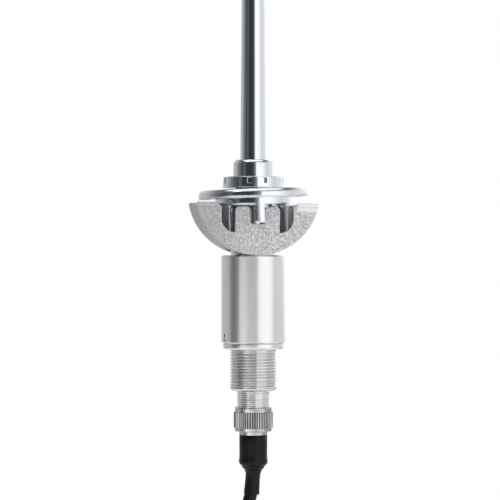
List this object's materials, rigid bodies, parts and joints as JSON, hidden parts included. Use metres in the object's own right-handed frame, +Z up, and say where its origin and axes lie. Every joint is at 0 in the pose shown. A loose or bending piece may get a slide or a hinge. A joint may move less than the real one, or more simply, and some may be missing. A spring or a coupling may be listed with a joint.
{
  "type": "car mast aerial",
  "caption": "Telescopic wing aerial with a half-moon clamp saddle, chromed bezel and cap nut, screwed lead connector, cable and plug.",
  "frame": {"origin": "on the mast's axis, in the plane of the saddle's tooth tips, where the underside of the wing lies", "axes": "+Z up the mast, -Y the front of the saddle, X along the half-moon, in whose plane the mast rocks"},
  "size_m": [0.0615, 0.0378, 0.4688],
  "materials": {
    "cast_light_alloy": "die-cast, blasted matt, brighter where it was milled",
    "chrome": "polished chrome plate",
    "plated_steel": "turned and zinc-nickel plated, satin",
    "turned_aluminium": "fine turned, satin",
    "nickelled_brass": "nickel plated, slightly warm grey",
    "brass": "bare turned",
    "spring_brass": "hard rolled",
    "black_plastic": "moulded",
    "white_plastic": "moulded",
    "black_rubber": "moulded, satin",
    "cable_sheath": "extruded, satin"
  },
  "bodies": {
    "clamp": {"clamp_saddle": "cast_light_alloy", "bezel": "chrome"},
    "aerial": {"cap_nut": "chrome", "body_tube": "plated_steel", "mast_bush": "black_plastic", "mast_seat": "black_plastic", "mast_foot": "brass", "mast_stem": "chrome", "feed_rod": "brass", "socket_body": "plated_steel", "socket_insulator": "white_plastic", "socket_contact": "brass"},
    "sleeve": {"spacer_sleeve": "turned_aluminium"},
    "ring": {"ring_nut": "turned_aluminium"},
    "mast_2": {"mast_tube_2": "chrome", "friction_spring_2": "spring_brass"},
    "mast_3": {"mast_tube_3": "chrome", "friction_spring_3": "spring_brass"},
    "mast_4": {"mast_rod": "chrome", "mast_tip": "chrome", "friction_spring_4": "spring_brass"},
    "connector": {"connector_ferrule": "nickelled_brass", "connector_insulator": "white_plastic", "connector_pin": "brass", "boot": "black_rubber", "cable": "cable_sheath", "cable_coil": "cable_sheath", "cable_tail": "cable_sheath", "cable_tie": "black_plastic", "plug_grip": "black_plastic", "plug_shell": "nickelled_brass", "plug_insulator": "white_plastic", "plug_pin": "nickelled_brass"},
    "union": {"union_nut": "nickelled_brass"}
  },
  "joints": [
    {"name": "mast_rock", "type": "hinge", "parent": "clamp", "child": "aerial", "pos_m": [0, 0, 0.0034], "axis": [0, 1, 0], "range_deg": [-5, 0.6]},
    {"name": "mast_slide_2", "type": "slide", "parent": "aerial", "child": "mast_2", "axis": [0, 0, 1], "range_m": [0, 0.2485]},
    {"name": "mast_slide_3", "type": "slide", "parent": "mast_2", "child": "mast_3", "axis": [0, 0, 1], "range_m": [0, 0.2525]},
    {"name": "mast_slide_4", "type": "slide", "parent": "mast_3", "child": "mast_4", "axis": [0, 0, 1], "range_m": [0, 0.2565]},
    {"name": "sleeve_slide", "type": "slide", "parent": "aerial", "child": "sleeve", "axis": [0, 0, -1], "range_m": [0, 0.01]},
    {"name": "ring_nut_turn", "type": "hinge", "parent": "sleeve", "child": "ring", "pos_m": [0, 0, -0.0492], "axis": [0, 0, -1], "range_deg": [0, 3600]},
    {"name": "connector_slide", "type": "slide", "parent": "aerial", "child": "connector", "axis": [0, 0, -1], "range_m": [0, 0.0045]},
    {"name": "union_nut_turn", "type": "hinge", "parent": "connector", "child": "union", "pos_m": [0, 0, -0.0742], "axis": [0, 0, -1], "range_deg": [0, 2160]}
  ],
  "couplings": [
    {"joint": "ring_nut_turn", "follows": "sleeve_slide", "rad_per_m": 6283.2},
    {"joint": "union_nut_turn", "follows": "connector_slide", "rad_per_m": 8377.6}
  ]
}
